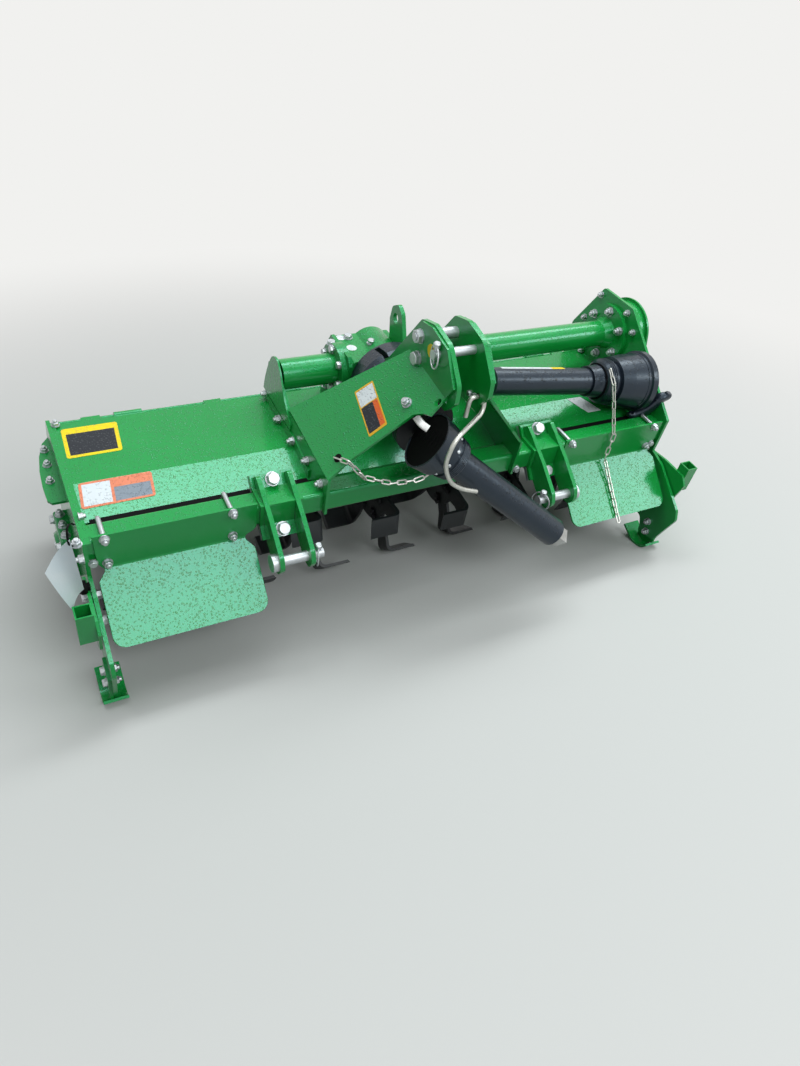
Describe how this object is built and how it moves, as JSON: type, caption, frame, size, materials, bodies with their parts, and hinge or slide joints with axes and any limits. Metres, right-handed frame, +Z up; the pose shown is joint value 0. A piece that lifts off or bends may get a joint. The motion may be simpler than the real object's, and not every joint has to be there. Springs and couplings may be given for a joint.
{
  "type": "rotary tiller",
  "caption": "Three-point hitch rotary tiller with L-shaped tines on a driven rotor, a folded deck, an A-shaped mast, side gear drive, guarded driveline and a hinged tailgate.",
  "frame": {"origin": "centre of the footprint's bounding box, on the ground", "axes": "+X along the front tube to the right as seen from the tractor, +Y to the rear, +Z up; the tiller stands as it parks, on its skid shoes and lowest tines"},
  "size_m": [1.564, 0.7618, 0.7141],
  "materials": {
    "green_paint": "glossy green paint",
    "green_casting": "green paint over a casting",
    "zinc": "zinc plated",
    "bright_steel": "drawn steel, lightly oiled",
    "tine_steel": "dark dip paint",
    "black_plastic": "black moulded plastic"
  },
  "bodies": {
    "frame": {"brace_left": "green_paint", "brace_right": "green_paint", "chain_front": "zinc", "chain_side": "zinc", "cover_tube_left": "green_paint", "deck_centre": "green_paint", "deck_left": "green_paint", "deck_right": "green_paint", "deflector_left": "green_paint", "deflector_right": "green_paint", "drive_tube_right": "green_paint", "driveline_front_guard": "black_plastic", "driveline_hook": "zinc", "driveline_store_bell": "black_plastic", "driveline_store_guard": "black_plastic", "driveline_store_yoke": "bright_steel", "end_plate_left": "green_paint", "end_plate_right": "green_paint", "front_tube": "green_paint", "gear_case_lid": "green_paint", "gearbox": "green_casting", "hitch_clamp_left": "zinc", "hitch_clamp_right": "zinc", "hitch_clevis_left": "green_paint", "hitch_clevis_right": "green_paint", "lifting_eye": "green_paint", "lower_pin_left": "zinc", "lower_pin_right": "zinc", "mast_plate_left": "green_paint", "mast_plate_right": "green_paint", "mast_spacer": "zinc", "rotor_bearing_left": "green_paint", "rotor_bearing_right": "green_paint", "shaft_guard": "black_plastic", "side_gear_case": "green_paint", "skid_shoe_left": "green_paint", "skid_shoe_right": "green_paint", "stand_socket_left": "green_paint", "stand_socket_right": "green_paint", "tailgate_rod": "green_paint", "top_link_pin": "zinc"},
    "rotor": {"rotor": "tine_steel"},
    "input_shaft": {"input_shaft": "bright_steel"},
    "drive_shaft": {"driveline_front_shaft": "bright_steel"},
    "tailgate": {"tailgate": "green_paint"}
  },
  "joints": [
    {"name": "rotor_spin", "type": "hinge", "parent": "frame", "child": "rotor", "pos_m": [-0.011, 0.05483, 0.184], "axis": [1, 0, 0], "continuous": true},
    {"name": "input_spin", "type": "hinge", "parent": "frame", "child": "input_shaft", "pos_m": [-0.011, -0.22471, 0.45117], "axis": [0, 0.9795, 0.2014], "continuous": true},
    {"name": "driveline_spin", "type": "hinge", "parent": "frame", "child": "drive_shaft", "pos_m": [-0.011, -0.28348, 0.43908], "axis": [-0.765, 0.1767, 0.6193], "continuous": true},
    {"name": "tailgate_hinge", "type": "hinge", "parent": "frame", "child": "tailgate", "pos_m": [-0.011, 0.16848, 0.42074], "axis": [1, 0, 0], "range_deg": [0, 50]}
  ],
  "couplings": [
    {"joint": "input_spin", "follows": "rotor_spin", "ratio": 2.57},
    {"joint": "driveline_spin", "follows": "rotor_spin", "ratio": 2.57}
  ]
}
